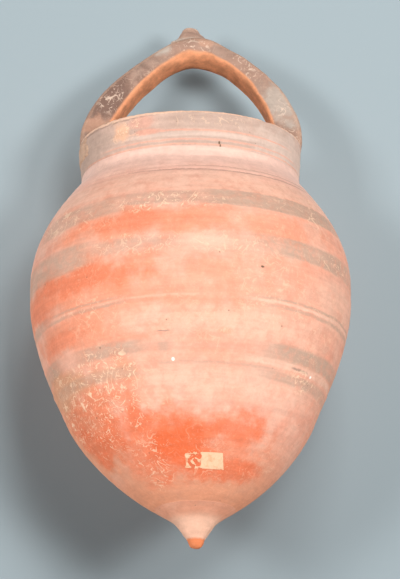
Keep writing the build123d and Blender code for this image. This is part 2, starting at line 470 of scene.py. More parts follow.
@dataclass
class JarWall:
    """The thrown wall in its three sections, with the toe under it.

    Attributes:
        outline: the wall's outline.
        hand: what pushed it out of true.
        around_steps: how many faces go round the wall.
        toe_steps: how many go round the toe.
        step: the length of the outside's faces on the body.
        neck_step: their length on the neck.
        inner_step: their length inside.
        seam_slope: how much a seam climbs inwards, as a share of the wall.
        wear_low: the height where the lip starts to be worn.
        wear_high: the height from which it is worn in full.
    """

    outline: WallOutline
    hand: PottersHand
    around_steps: int = 400
    toe_steps: int = 160
    step: float = 0.72 * MM
    neck_step: float = 0.35 * MM
    inner_step: float = 2.0 * MM
    seam_slope: float = 0.8
    wear_low: float = 185.4 * MM
    wear_high: float = 187.6 * MM

    def weather(self, bm: bmesh.types.BMesh, outer: set[bmesh.types.BMVert]) -> None:
        """Press the hand's unevenness and the wheel's marks into a turned shape.

        Args:
            bm: the shape.
            outer: its vertices on the outside, which get the fine marks as well.
        """
        for vert in bm.verts:
            place = vert.co.copy()
            if vert in outer:
                relief = self.hand.wheel_relief(place)
            else:
                relief = 0.25 * MM * noise.noise(Vector((place.x * 12.0, place.y * 12.0, place.z * 190.0)))
            flat = Vector((place.x, place.y, 0.0))
            if flat.length > 1.0 * MM:
                place += flat.normalized() * relief
            vert.co = self.hand.push(place)

    def outer_verts(self, bm: bmesh.types.BMesh, low: float, high: float) -> set[bmesh.types.BMVert]:
        """Pick the vertices that lie on the wall's outside between two heights.

        Args:
            bm: the turned shape.
            low: the lower height.
            high: the upper height.

        Returns:
            The vertices.
        """
        picked = set()
        for vert in bm.verts:
            radius = math.hypot(vert.co.x, vert.co.y)
            if low <= vert.co.z <= high and abs(radius - self.outline.radius(vert.co.z)) < 0.4 * MM:
                picked.add(vert)
        return picked

    def section(self, low: float, high: float, step: float) -> tuple[list[Point], list[Point]]:
        """Cut one section out of the wall between two seams that climb inwards.

        Args:
            low: the height of the lower seam on the outside.
            high: that of the upper seam.
            step: the length of the outside's faces.

        Returns:
            The section's outside and inside lines, both climbing.
        """
        rise = self.seam_slope * self.outline.wall
        outside = evenly(self.outline.stretch(self.outline.outside, low, high), step)
        line = self.outline.inside
        if low > self.outline.toe_height:
            inside = self.outline.stretch(line, low + rise, min(high + rise, self.outline.mouth_foot))
        else:
            inside = [p for p in line if p[1] < high + rise]
        return outside, evenly(inside, self.inner_step)

    def lower_body(self, material: bpy.types.Material) -> bpy.types.Object:
        """Build the bowl-shaped lower wall.

        Args:
            material: its finish.

        Returns:
            The piece.
        """
        low, high = self.outline.toe_height, self.outline.body_seam
        outside, inside = self.section(low, high, self.step)
        bm = turn_profile([(0.0, low)] + outside + inside[::-1], self.around_steps)
        self.weather(bm, self.outer_verts(bm, low, high))
        return finish_piece(bm, "lower_body_clay", ["lower_body"], material)

    def upper_body(self, material: bpy.types.Material) -> bpy.types.Object:
        """Build the belly and shoulder.

        Args:
            material: its finish.

        Returns:
            The piece.
        """
        low, high = self.outline.body_seam, self.outline.neck_seam
        outside, inside = self.section(low, high, self.step)
        bm = turn_profile(outside + inside[::-1], self.around_steps)
        self.weather(bm, self.outer_verts(bm, low, high))
        return finish_piece(bm, "upper_body_clay", ["upper_body"], material)

    def neck_collar(self, material: bpy.types.Material) -> bpy.types.Object:
        """Build the neck with its worn lip.

        Args:
            material: its finish.

        Returns:
            The piece.
        """
        outside, inside = self.section(self.outline.neck_seam, self.outline.mouth_foot, self.neck_step)
        rim, lip, mouth = self.outline.rim_height, self.outline.lip_radius, self.outline.mouth_radius
        outer_edge = curve_points(
            outside[-1], (lip + 0.1 * MM, rim - 0.5 * MM), (lip - 0.5 * MM, rim), (lip - 1.7 * MM, rim), 8
        )
        inner_edge = curve_points(
            (mouth + 1.7 * MM, rim), (mouth + 0.5 * MM, rim), (mouth, rim - 0.6 * MM), inside[-1], 8
        )
        top = evenly([outer_edge[-1], inner_edge[0]], 0.5 * MM)
        profile = outside + outer_edge[1:] + top[1:-1] + inner_edge + inside[-2::-1]
        bm = turn_profile(profile, self.around_steps)
        self.weather(bm, self.outer_verts(bm, self.outline.neck_seam, self.outline.lip_foot))
        for vert in bm.verts:
            if vert.co.z > self.wear_low:
                wear = max(0.0, noise.noise(vert.co * 260.0) - 0.15)
                wear += 0.3 * max(0.0, noise.noise(vert.co * 900.0))
                vert.co.z -= 1.1 * MM * wear * smooth_step(self.wear_low, self.wear_high, vert.co.z)
                vert.co += 0.12 * MM * noise.noise_vector(vert.co * 420.0)
        return finish_piece(bm, "neck_collar_clay", ["neck_collar"], material)

    def toe(self, material: bpy.types.Material) -> bpy.types.Object:
        """Build the worn toe, its clay smoothed out over the foot of the bowl.

        Args:
            material: its finish.

        Returns:
            The piece.
        """
        tip_edge, root, spread = (3.7 * MM, 3.1 * MM), (8.1 * MM, 9.7 * MM), (18.0 * MM, 17.1 * MM)
        tip = curve_points((0.0, 0.0), (2.1 * MM, 0.0), (2.9 * MM, 0.7 * MM), tip_edge, 10)
        flank = curve_points(tip_edge, (4.7 * MM, 5.0 * MM), (6.6 * MM, 7.6 * MM), root, 16)
        smear = curve_points(root, (9.5 * MM, 11.8 * MM), (11.6 * MM, 13.1 * MM), spread, 20)
        tenon = (0.0, self.outline.toe_height + 3.0 * MM)
        buried = [(18.1 * MM, 17.7 * MM), (12.0 * MM, 16.8 * MM), tenon]
        bm = turn_profile(tip + flank[1:] + smear[1:] + buried, self.toe_steps)
        outer = {vert for vert in bm.verts if vert.co.z < 17.2 * MM}
        self.weather(bm, outer)
        for vert in outer:
            low = 1.0 - smooth_step(2.0 * MM, 7.0 * MM, vert.co.z)
            near = 1.0 - smooth_step(11.0 * MM, 15.0 * MM, vert.co.z)
            vert.co += (0.10 * MM * near + 0.35 * MM * low) * noise.noise_vector(vert.co * 260.0)
            vert.co.z = max(vert.co.z, 0.02 * MM)
        return finish_piece(bm, "toe_clay", ["toe"], material)


@dataclass
class BasketHandle:
    """The strap arched over the mouth, its knob and the wads under its feet.

    Attributes:
        outline: the wall's outline.
        hand: what pushed the wall out of true.
        crown: the top of the strap.
        seat: where its feet end in the rim.
        knob_top: the top of the knob.
        width: the strap's width along Y at its feet.
        crown_width: its width at the crown.
        crown_thickness: its thickness at the crown.
        crown_swell: how much it thickens under the knob.
        swell_reach: how far from the knob that thickening reaches.
        crown_shift: how far the crown lies to the right of the axis.
        foot_left: the left foot's thickness on the rim.
        foot_right: the right foot's thickness on the rim.
        knob_shift: how far the knob lies to the right of the axis.
        squareness: how square the strap's section is, 2 for an ellipse.
        under_lean: how much thinner the crown is at the front than in the middle.
        half_steps: how many stations each half of the arch has.
        ring_count: how many points go round the section.
    """

    outline: WallOutline
    hand: PottersHand
    crown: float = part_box("handle_strap")[1].z
    seat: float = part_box("handle_strap")[0].z
    knob_top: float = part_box("handle_knob")[1].z
    width: float = 17.0 * MM
    crown_width: float = 16.6 * MM
    crown_thickness: float = 7.3 * MM
    crown_swell: float = 4.4 * MM
    swell_reach: float = 15.5 * MM
    crown_shift: float = 2.0 * MM
    foot_left: float = 12.0 * MM
    foot_right: float = 13.0 * MM
    knob_shift: float = 0.5 * MM
    squareness: float = 4.2
    under_lean: float = 1.3 * MM
    half_steps: int = 90
    ring_count: int = 64

    def quarter(self, foot_x: float, crown: float, bend: Point) -> list[Point]:
        """Draw one quarter of the arch from the rim up to the middle of the crown.

        Args:
            foot_x: where it starts on the rim.
            crown: the height that it reaches.
            bend: how far it climbs straight up and how far it runs level, as shares.

        Returns:
            Evenly spaced points as (x, z).
        """
        rim = self.outline.rim_height
        climb, level = bend
        return curve_points(
            (foot_x, rim),
            (foot_x, rim + climb * (self.crown - rim)),
            (self.crown_shift + level * foot_x, crown),
            (self.crown_shift, crown),
            200,
        )

    def matched(self, outer: list[Point], inner: list[Point]) -> list[tuple[Point, Point]]:
        """Pair two lines up by their share of length.

        Args:
            outer: the first line.
            inner: the second line.

        Returns:
            The pairs, both ends among them.
        """
        steps = [length_of(line) / self.half_steps for line in (outer, inner)]
        return list(zip(evenly(outer, steps[0]), evenly(inner, steps[1])))

    def stations(self) -> list[tuple[Point, Point]]:
        """Walk along the arch from the left foot over to the right foot.

        Returns:
            Pairs of an outer and an inner point, as (x, z).
        """
        reach, under = self.outline.lip_radius, self.crown - self.crown_thickness
        left = self.matched(
            self.quarter(-reach, self.crown, (0.45, 0.45)),
            self.quarter(self.foot_left - reach, under, (0.17, 0.48)),
        )
        right = self.matched(
            self.quarter(reach, self.crown, (0.45, 0.54)),
            self.quarter(reach - self.foot_right, under, (0.25, 0.63)),
        )
        drop = [self.seat + step * 0.75 * MM for step in range(4)]
        feet = [reach - 0.3 * (self.seat + 3.0 * MM - z) for z in drop]
        start = [((-foot, z), (self.foot_left - reach, z)) for foot, z in zip(feet, drop)]
        end = [((foot, z), (reach - self.foot_right, z)) for foot, z in zip(feet, drop)]
        return start + left + right[-2::-1] + end[::-1]

    def section(self, half_thickness: float, half_width: float, pinched: float, lean: float) -> list[Point]:
        """Draw the strap's rounded section.

        Args:
            half_thickness: half its size outwards.
            half_width: half its size along Y.
            pinched: how round it is, from 0 for the strap to 1 under the knob.
            lean: how much thinner it is at the front than in the middle.

        Returns:
            Evenly spaced points as (outwards, along Y).
        """
        power = 2.0 / (self.squareness - 1.8 * pinched)
        points = []
        for number in range(361):
            turn = math.radians(number)
            out, side = math.cos(turn), math.sin(turn)
            points.append(
                (
                    half_thickness * math.copysign(abs(out) ** power, out),
                    half_width * math.copysign(abs(side) ** power, side),
                )
            )
        points = [
            (out - 0.5 * (1.0 - out / half_thickness) * lean * side / half_width, side)
            for out, side in points
        ]
        return evenly(points, length_of(points) / self.ring_count)[: self.ring_count]

    def knead(self, place: Vector) -> Vector:
        """Move a place of the strap to where fingers left it.

        Args:
            place: the place on the smooth strap.

        Returns:
            The place on the kneaded one.
        """
        broad = noise.noise_vector(place * 34.0) * 0.7 * MM
        dents = noise.noise_vector(place * 110.0) * 0.35 * MM
        fine = noise.noise_vector(place * 420.0) * 0.10 * MM
        return place + broad + dents + fine

    def ring_places(self, share: float, outer: Point, inner: Point) -> list[Vector]:
        """Set the strap's section up at one station of the arch.

        Args:
            share: how far along the arch the station is, from 0 to 1.
            outer: its outer point, as (x, z).
            inner: its inner point.

        Returns:
            The section's places, in their order round it.
        """
        level = math.sin(math.pi * share) ** 2
        half_width = 0.5 * (self.width + (self.crown_width - self.width) * level)
        half_width *= 1.0 + 0.03 * math.sin(11.0 * share + 0.6)
        pinched = level * bell((outer[0] - self.knob_shift) / self.swell_reach)
        lean = self.under_lean * level
        outer = (outer[0], outer[1] + self.crown_swell * pinched)
        middle = Vector((0.5 * (outer[0] + inner[0]), 0.0, 0.5 * (outer[1] + inner[1])))
        out = Vector((outer[0] - inner[0], 0.0, outer[1] - inner[1]))
        return [
            middle + out.normalized() * outwards + Vector((0.0, along, 0.0))
            for outwards, along in self.section(out.length / 2.0, half_width, pinched, lean)
        ]

    def strap(self, material: bpy.types.Material) -> bpy.types.Object:
        """Build the strap by running its section along the arch.

        Args:
            material: its finish.

        Returns:
            The piece.
        """
        bm = bmesh.new()
        stations = self.stations()
        ring: list[bmesh.types.BMVert] = []
        edges: list[bmesh.types.BMEdge] = []
        for number, (outer, inner) in enumerate(stations):
            places = self.ring_places(number / (len(stations) - 1), outer, inner)
            if not ring:
                ring = [bm.verts.new(place) for place in places]
                edges = [bm.edges.new(pair) for pair in zip(ring, ring[1:] + ring[:1])]
                bm.faces.new(ring)
                continue
            made = bmesh.ops.extrude_edge_only(bm, edges=edges)["geom"]
            verts = {item for item in made if isinstance(item, bmesh.types.BMVert)}
            old = {vert.co.to_tuple(6): index for index, vert in enumerate(ring)}
            order = {old[vert.co.to_tuple(6)]: vert for vert in verts}
            ring = [order[index] for index in range(len(places))]
            made_edges = (item for item in made if isinstance(item, bmesh.types.BMEdge))
            edges = [edge for edge in made_edges if verts.issuperset(edge.verts)]
            for vert, place in zip(ring, places):
                vert.co = place
        bm.faces.new(ring[::-1])
        bmesh.ops.recalc_face_normals(bm, faces=bm.faces)
        for vert in bm.verts:
            free = smooth_step(186.0 * MM, 194.0 * MM, vert.co.z)
            vert.co = vert.co.lerp(self.knead(vert.co), 0.3 + 0.7 * free)
        return finish_piece(bm, "handle_strap_clay", ["handle_strap"], material)

    def knob(self, material: bpy.types.Material) -> bpy.types.Object:
        """Build the pinched knob on the crown.

        Args:
            material: its finish.

        Returns:
            The piece.
        """
        base, top = self.crown - 1.0 * MM, self.knob_top
        cap_edge, skirt = (3.5 * MM, top - 1.7 * MM), (10.5 * MM, top - 7.9 * MM)
        cap = curve_points((0.0, top), (1.5 * MM, top), (2.6 * MM, top - 0.3 * MM), cap_edge, 10)
        flank = curve_points(cap_edge, (4.9 * MM, top - 4.2 * MM), (6.2 * MM, top - 5.9 * MM), skirt, 40)
        profile = cap + flank[1:] + [(11.0 * MM, base), (0.0, base)]
        bm = turn_profile(profile[::-1], 120)
        reach_y = 6.8 * MM
        for vert in bm.verts:
            place = vert.co.copy()
            high = smooth_step(self.crown, top, place.z)
            turn = angle_of(place)
            ridge = 1.0 + 0.07 * math.cos(3.0 * turn + 0.5) * (1.0 - 0.6 * high)
            ridge += 0.05 * math.sin(5.0 * turn)
            place.x *= ridge
            place.y = reach_y * math.tanh(place.y * ridge / reach_y)
            if place.z > base + 0.1 * MM:
                place += noise.noise_vector(place * 160.0) * 0.7 * MM
                place += noise.noise_vector(place * 520.0) * 0.2 * MM
                place.z += 0.4 * MM * high
            place.x += self.knob_shift - 0.6 * MM * high
            place.z = min(place.z, top)
            vert.co = place
        return finish_piece(bm, "handle_knob_clay", ["handle_knob"], material)

    def wad(self, side: int, material: bpy.types.Material) -> bpy.types.Object:
        """Build the wad of clay that lutes one foot to the inside of the rim.

        Args:
            side: -1 for the left foot, 1 for the right one.
            material: its finish.

        Returns:
            The piece.
        """
        node = "handle_wad_left" if side < 0 else "handle_wad_right"
        low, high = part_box(node)
        mouth = self.outline.mouth_radius
        reach = (self.foot_left if side < 0 else self.foot_right) - 5.0 * MM
        bm = bmesh.new()
        bmesh.ops.create_uvsphere(bm, u_segments=96, v_segments=64, radius=1.0)
        for vert in bm.verts:
            unit = vert.co.copy()
            place = Vector(
                (
                    side * (mouth + 1.4 * MM) - side * (reach + 1.2 * MM) * max(0.0, -side * unit.x),
                    (high.y - low.y) * 0.5 * unit.y,
                    high.z + 0.2 * MM + (high.z - low.z) * unit.z * (1.0 if unit.z < 0.0 else 0.22),
                )
            )
            place += noise.noise_vector(place * 150.0) * 0.6 * MM
            place += noise.noise_vector(place * 500.0) * 0.15 * MM
            vert.co = place
        if side < 0:
            self.smear(bm)
        bmesh.ops.recalc_face_normals(bm, faces=bm.faces)
        return finish_piece(bm, f"{node}_clay", [node], material)

    def smear(self, bm: bmesh.types.BMesh) -> None:
        """Wipe a thin skin of clay over the lip and neck outside the left foot, split along the lip.

        Args:
            bm: the left wad's shape, which gets the skin.
        """
        made = bmesh.ops.create_grid(bm, x_segments=90, y_segments=50, size=0.5)["verts"]
        sheet = {face for vert in made for face in vert.link_faces}
        for vert in made:
            across, climb = vert.co.x * 2.0, vert.co.y * 2.0
            height = self.outline.rim_height - 5.6 * MM + climb * 5.2 * MM
            angle = math.radians(-84.0 + 21.0 * across)
            place = around(self.outline.radius(height), angle, height)
            ragged = 0.35 * noise.noise(place * 160.0) + 0.2 * noise.noise(place * 420.0)
            edge = 1.0 - smooth_step(0.55, 0.95, max(abs(across), abs(climb)) + ragged)
            crack_at = self.outline.rim_height - 2.0 * MM - 1.6 * MM * (across + 0.3)
            crack = bell((height - crack_at + 1.4 * MM * ragged) / (0.45 * MM))
            proud = (0.75 * MM + 0.3 * MM * noise.noise(place * 300.0)) * edge - 0.35 * MM
            radius = self.outline.radius(height) + proud - 0.6 * MM * crack * edge
            vert.co = self.hand.push(around(radius, angle, height))
        bmesh.ops.solidify(bm, geom=list(sheet), thickness=0.8 * MM)


@dataclass
class PaperLabel:
    """The old label on the bowl, torn and worn away at its left.

    Attributes:
        outline: the wall's outline.
        hand: what pushed the wall out of true.
        thickness: the paper's thickness.
        step: the size of its faces.
        whole_from: where the whole paper starts, to the right of the axis.
        rim: how much of its edge is frayed at least.
    """

    outline: WallOutline
    hand: PottersHand
    thickness: float = 0.22 * MM
    step: float = 0.16 * MM
    whole_from: float = 3.4 * MM
    rim: float = 0.25 * MM

    def is_torn(self, across: float, height: float, low: Vector, high: Vector) -> bool:
        """Tell whether the paper is gone at a place of the label.

        Args:
            across: the place's X.
            height: its height.
            low: the low corner of the label's box.
            high: the high corner.

        Returns:
            Whether it is gone.
        """
        ragged = 0.9 * MM * noise.noise(Vector((across * 480.0, 0.0, height * 480.0)))
        edge = min(across - low.x, high.x - across, height - low.z, high.z - height)
        if edge < self.rim + 0.35 * abs(ragged):
            return True
        if across > self.whole_from + ragged:
            return False
        scrap = noise.noise(Vector((across * 620.0, 4.0, height * 760.0)))
        return edge > 0.9 * MM and scrap < 0.22 or scrap < -0.1

    def build(self, material: bpy.types.Material) -> bpy.types.Object:
        """Bend a fine sheet onto the bowl and tear it.

        Args:
            material: its finish.

        Returns:
            The piece.
        """
        low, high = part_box("paper_label")
        wide, tall = high.x - low.x, high.z - low.z
        bm = bmesh.new()
        bmesh.ops.create_grid(
            bm, x_segments=round(wide / self.step), y_segments=round(tall / self.step), size=0.5
        )
        gone = []
        for face in bm.faces:
            middle = face.calc_center_median()
            if self.is_torn(low.x + (middle.x + 0.5) * wide, low.z + (middle.y + 0.5) * tall, low, high):
                gone.append(face)
        bmesh.ops.delete(bm, geom=gone, context="FACES")
        for vert in bm.verts:
            height = low.z + (vert.co.y + 0.5) * tall
            radius = self.outline.radius(height)
            angle = math.asin((low.x + (vert.co.x + 0.5) * wide) / radius)
            place = around(radius, angle, height)
            lift = self.hand.wheel_relief(place) - 0.05 * MM + 0.1 * MM * noise.noise(place * 300.0)
            vert.co = self.hand.push(around(radius + lift, angle, height))
        bmesh.ops.recalc_face_normals(bm, faces=bm.faces)
        if sum(face.normal.y * face.calc_area() for face in bm.faces) > 0.0:
            bmesh.ops.reverse_faces(bm, faces=bm.faces)
        bmesh.ops.solidify(bm, geom=bm.faces, thickness=-self.thickness)
        bmesh.ops.recalc_face_normals(bm, faces=bm.faces)
        return finish_piece(bm, "paper_label_sheet", ["paper_label"], material)


# ---------------------------------------------------------------- finishes
Colour = tuple[float, float, float]
Socket = bpy.types.NodeSocket
Value = float | Socket
MIX_SHARE, MIX_BELOW, MIX_ABOVE, MIX_RESULT = 0, 6, 7, 2  # the sockets of a Mix node set to colour


class Grain(Enum):
    """How a texture is stretched over the jar."""

    EVEN = (1.0, 1.0, 1.0)
    TURNED = (0.09, 0.09, 1.0)
    DRAGGED = (0.35, 0.35, 1.0)


class NodeWriter:
    """Writes the shader nodes of one material."""

    def __init__(self, name: str) -> None:
        """Start an empty material.

        Args:
            name: its name.
        """
        self.material = bpy.data.materials.new(name)
        self.material.use_nodes = True
        self.tree = self.material.node_tree
        self.tree.nodes.clear()
        self.place = self.tree.nodes.new("ShaderNodeTexCoord").outputs["Object"]
        split = self.tree.nodes.new("ShaderNodeSeparateXYZ")
        self.tree.links.new(self.place, split.inputs[0])
        self.x, self.y, self.z = split.outputs
        self.height = self.math("MULTIPLY", self.z, 1000.0)
        turn = self.math("ARCTAN2", self.x, self.math("MULTIPLY", self.y, -1.0))
        self.angle = self.math("MULTIPLY", turn, math.degrees(1.0))

    def feed(self, socket: Socket, value: Value | Colour) -> None:
        """Link a socket to a value or set it.

        Args:
            socket: the socket.
            value: another node's output, a number or a colour.
        """
        if isinstance(value, bpy.types.NodeSocket):
            self.tree.links.new(value, socket)
        elif isinstance(value, tuple) and len(socket.default_value) == 4:
            socket.default_value = (*value, 1.0)
        else:
            socket.default_value = value

    def math(self, operation: str, *values: Value) -> Socket:
        """Add one sum.

        Args:
            operation: the Math node's operation.
            values: what it works on.

        Returns:
            Its result.
        """
        node = self.tree.nodes.new("ShaderNodeMath")
        node.operation = operation
        for socket, value in zip(node.inputs, values):
            self.feed(socket, value)
        return node.outputs[0]

    def chain(self, operation: str, values: tuple[Value, ...]) -> Value:
        """Run one sum through several values, the result so far with the next value.

        Args:
            operation: the Math node's operation.
            values: the values.

        Returns:
            The result.
        """
        result = values[0]
        for value in values[1:]:
            result = self.math(operation, result, value)
        return result

    def total(self, *values: Value) -> Value:
        """Add several values up."""
        return self.chain("ADD", values)

    def product(self, *values: Value) -> Value:
        """Multiply several values."""
        return self.chain("MULTIPLY", values)

    def highest(self, *values: Value) -> Value:
        """Give the highest of several values."""
        return self.chain("MAXIMUM", values)

    def rise(self, value: Value, low: Value, high: Value, start: Value = 0.0, end: Value = 1.0) -> Socket:
        """Map a value smoothly from one range to another.

        Args:
            value: the value.
            low: where the first range starts.
            high: where it ends.
            start: the result at low and below.
            end: the result at high and above.

        Returns:
            The result.
        """
        node = self.tree.nodes.new("ShaderNodeMapRange")
        node.interpolation_type = "SMOOTHSTEP"
        for socket, given in zip(node.inputs[:5], (value, low, high, start, end)):
            self.feed(socket, given)
        return node.outputs[0]

    def moved_place(self, seed: float, grain: Grain = Grain.EVEN) -> Socket:
        """Give the place, moved so that one texture differs from the next.

        Args:
            seed: moves it elsewhere.
            grain: how it is stretched.

        Returns:
            The moved place.
        """
        moved = self.tree.nodes.new("ShaderNodeMapping")
        self.feed(moved.inputs["Vector"], self.place)
        moved.inputs["Scale"].default_value = grain.value
        moved.inputs["Location"].default_value = (seed * 0.317, seed * 0.731, seed * 0.113)
        return moved.outputs[0]

    def noise(
        self,
        scale: float,
        grain: Grain = Grain.EVEN,
        detail: float = 3.0,
        rough: float = 0.55,
        warp: float = 0.0,
        seed: float = 0.0,
    ) -> Socket:
        """Add a cloud texture and give its value, about 0.5 on average.

        Args:
            scale: how many clouds fit in a metre.
            grain: how it is stretched.
            detail: how many finer layers it has.
            rough: how strong they are.
            warp: how much it is swirled.
            seed: moves it elsewhere.

        Returns:
            The value.
        """
        node = self.tree.nodes.new("ShaderNodeTexNoise")
        self.feed(node.inputs["Vector"], self.moved_place(seed, grain))
        node.inputs["Scale"].default_value = scale
        node.inputs["Detail"].default_value = detail
        node.inputs["Roughness"].default_value = rough
        node.inputs["Distortion"].default_value = warp
        return node.outputs["Fac"]

    def cells(self, scale: float, seed: float = 0.0) -> tuple[Socket, Socket]:
        """Scatter points.

        Args:
            scale: how many fit in a metre.
            seed: moves them elsewhere.

        Returns:
            The distance to the nearest point, and a number from 0 to 1 that is that point's own.
        """
        node = self.tree.nodes.new("ShaderNodeTexVoronoi")
        self.feed(node.inputs["Vector"], self.moved_place(seed))
        node.inputs["Scale"].default_value = scale
        colour = self.tree.nodes.new("ShaderNodeSeparateColor")
        self.tree.links.new(node.outputs["Color"], colour.inputs[0])
        return node.outputs["Distance"], colour.outputs[0]

    def vector(self, operation: str, first: Value, second: Value | Colour = (0.0, 0.0, 0.0)) -> Socket:
        """Add one vector sum.

        Args:
            operation: the Vector Math node's operation.
            first: what it works on.
            second: its second value, where it takes one.

        Returns:
            Its result.
        """
        node = self.tree.nodes.new("ShaderNodeVectorMath")
        node.operation = operation
        self.feed(node.inputs[0], first)
        self.feed(node.inputs[1], second)
        return node.outputs["Value" if operation == "DOT_PRODUCT" else "Vector"]

    def squiggles(self, scale: float, seed: float) -> Socket:
        """Draw thin curling marks, such as roots leave, cut to short lengths.

        Args:
            scale: how many curls fit in a metre.
            seed: moves them elsewhere.

        Returns:
            Where the marks are, from 0 to 1.
        """
        curl = self.noise(scale, detail=1.0, rough=0.5, warp=0.9, seed=seed)
        off = self.math("ABSOLUTE", self.math("SUBTRACT", curl, 0.5))
        cut = self.noise(scale * 1.25, detail=2.0, seed=seed + 1.0)
        return self.product(self.rise(off, 0.006, 0.024, 1.0, 0.0), self.rise(cut, 0.50, 0.54))

    def facing(self, centre: Place, spread: Place) -> Socket:
        """Tell how far a face looks away from a centre.

        Args:
            centre: the centre.
            spread: how much each axis counts.

        Returns:
            A value from -1, straight back at the centre, to 1, straight away from it.
        """
        out = self.vector("MULTIPLY", self.vector("SUBTRACT", self.place, centre), spread)
        normal = self.tree.nodes.new("ShaderNodeNewGeometry").outputs["Normal"]
        return self.vector("DOT_PRODUCT", self.vector("NORMALIZE", out), normal)

    def mix(self, share: Value, below: Value | Colour, above: Value | Colour) -> Socket:
        """Lay one colour over another.

        Args:
            share: how much of the upper colour shows.
            below: the lower colour.
            above: the upper colour.

        Returns:
            The mixed colour.
        """
        node = self.tree.nodes.new("ShaderNodeMix")
        node.data_type = "RGBA"
        self.feed(node.inputs[MIX_SHARE], share)
        self.feed(node.inputs[MIX_BELOW], below)
        self.feed(node.inputs[MIX_ABOVE], above)
        return node.outputs[MIX_RESULT]

    def shade(self, colour: Value | Colour, factor: Value) -> Socket:
        """Make a colour lighter or darker.

        Args:
            colour: the colour.
            factor: 1 leaves it as it is.

        Returns:
            The new colour.
        """
        node = self.tree.nodes.new("ShaderNodeVectorMath")
        node.operation = "SCALE"
        self.feed(node.inputs[0], colour)
        self.feed(node.inputs["Scale"], factor)
        return node.outputs[0]

    def finish(
        self, colour: Value | Colour, relief: Value, depth: float, rough: Value, gloss: float
    ) -> bpy.types.Material:
        """Close the material with a surface.

        Args:
            colour: its colour.
            relief: the height of its grain, from 0 to 1.
            depth: how deep that grain is, in metres.
            rough: its roughness.
            gloss: its specular level.

        Returns:
            The material.
        """
        bump = self.tree.nodes.new("ShaderNodeBump")
        bump.inputs["Distance"].default_value = depth
        bump.inputs["Strength"].default_value = 1.0
        self.feed(bump.inputs["Height"], relief)
        surface = self.tree.nodes.new("ShaderNodeBsdfPrincipled")
        self.feed(surface.inputs["Base Color"], colour)
        self.feed(surface.inputs["Roughness"], rough)
        surface.inputs["Specular IOR Level"].default_value = gloss
        self.feed(surface.inputs["Normal"], bump.outputs[0])
        output = self.tree.nodes.new("ShaderNodeOutputMaterial")
        self.tree.links.new(surface.outputs[0], output.inputs["Surface"])
        return self.material


@dataclass(frozen=True)
class Band:
    """A brushed or scratched ring on the wall, over part of its round.

    Attributes:
        low: its lower edge, in millimetres.
        high: its upper edge.
        start: the angle where it starts; a full ring has start and end 360 apart.
        end: the angle where it ends.
        strength: how strong it is.
        edge: how soft its edges are, in millimetres.
        slope: how much it climbs, in millimetres to a degree.
        wear: how patchy it is.
        fade: how softly it starts and ends, in degrees.
    """

    low: float
    high: float
    start: float = -180.0
    end: float = 180.0
    strength: float = 1.0
    edge: float = 0.7
    slope: float = 0.0
    wear: float = 0.5
    fade: float = 8.0

    def mask(self, nodes: NodeWriter, ground: "Ground") -> Socket:
        """Draw where the ring is.

        Args:
            nodes: the material's writer.
            ground: the clouds that make it waver and wear it.

        Returns:
            The ring's strength.
        """
        height, edge, fade = ground.height, self.edge, self.fade
        if self.slope:
            turned = nodes.math("SUBTRACT", nodes.angle, 0.5 * (self.start + self.end))
            height = nodes.math("SUBTRACT", height, nodes.product(turned, self.slope))
        parts = [
            nodes.rise(height, self.low - edge, self.low + edge, 0.0, self.strength),
            nodes.rise(height, self.high - edge, self.high + edge, 1.0, 0.0),
        ]
        if self.end - self.start < 360.0:
            parts.append(nodes.rise(nodes.angle, self.start - fade, self.start + fade))
            parts.append(nodes.rise(nodes.angle, self.end - fade, self.end + fade, 1.0, 0.0))
        parts.append(nodes.rise(ground.mottle, 0.34, 0.56, 1.0 - self.wear, 1.0))
        return nodes.product(*parts)


@dataclass(frozen=True)
class Blotch:
    """A ragged patch at one place of the wall.

    Attributes:
        angle: its middle, in degrees from the front.
        height: its middle, in millimetres.
        wide: half its width, in degrees.
        tall: half its height, in millimetres.
        strength: how strong it is.
        rag: how ragged its edge is.
        core: the share of its size that is full strength.
        tilt: how much it leans, as shares of its half height to its half width.
    """

    angle: float
    height: float
    wide: float
    tall: float
    strength: float = 1.0
    rag: float = 1.0
    core: float = 0.45
    tilt: float = 0.0

    def mask(self, nodes: NodeWriter, ground: "Ground") -> Socket:
        """Draw where the patch is.

        Args:
            nodes: the material's writer.
            ground: the clouds that tear its edge.

        Returns:
            The patch's strength.
        """
        across = nodes.math("WRAP", nodes.math("SUBTRACT", nodes.angle, self.angle), 180.0, -180.0)
        across = nodes.product(across, 1.0 / self.wide)
        up = nodes.product(nodes.math("SUBTRACT", nodes.height, self.height), 1.0 / self.tall)
        if self.tilt:
            up = nodes.math("SUBTRACT", up, nodes.product(across, self.tilt))
        reach = nodes.math("SQRT", nodes.total(nodes.product(across, across), nodes.product(up, up)))
        torn = nodes.product(nodes.math("SUBTRACT", ground.clouds, 0.5), 2.4 * self.rag)
        return nodes.rise(nodes.total(reach, torn), self.core, 1.15, self.strength, 0.0)


@dataclass(frozen=True)
class Stain:
    """One colour laid over the clay at several places.

    Attributes:
        colour: the colour.
        places: where it lies.
        cover: how much of the clay it hides.
        brushed: how much brush strokes thin it.
    """

    colour: Colour
    places: tuple[Band | Blotch, ...]
    cover: float = 1.0
    brushed: float = 0.0


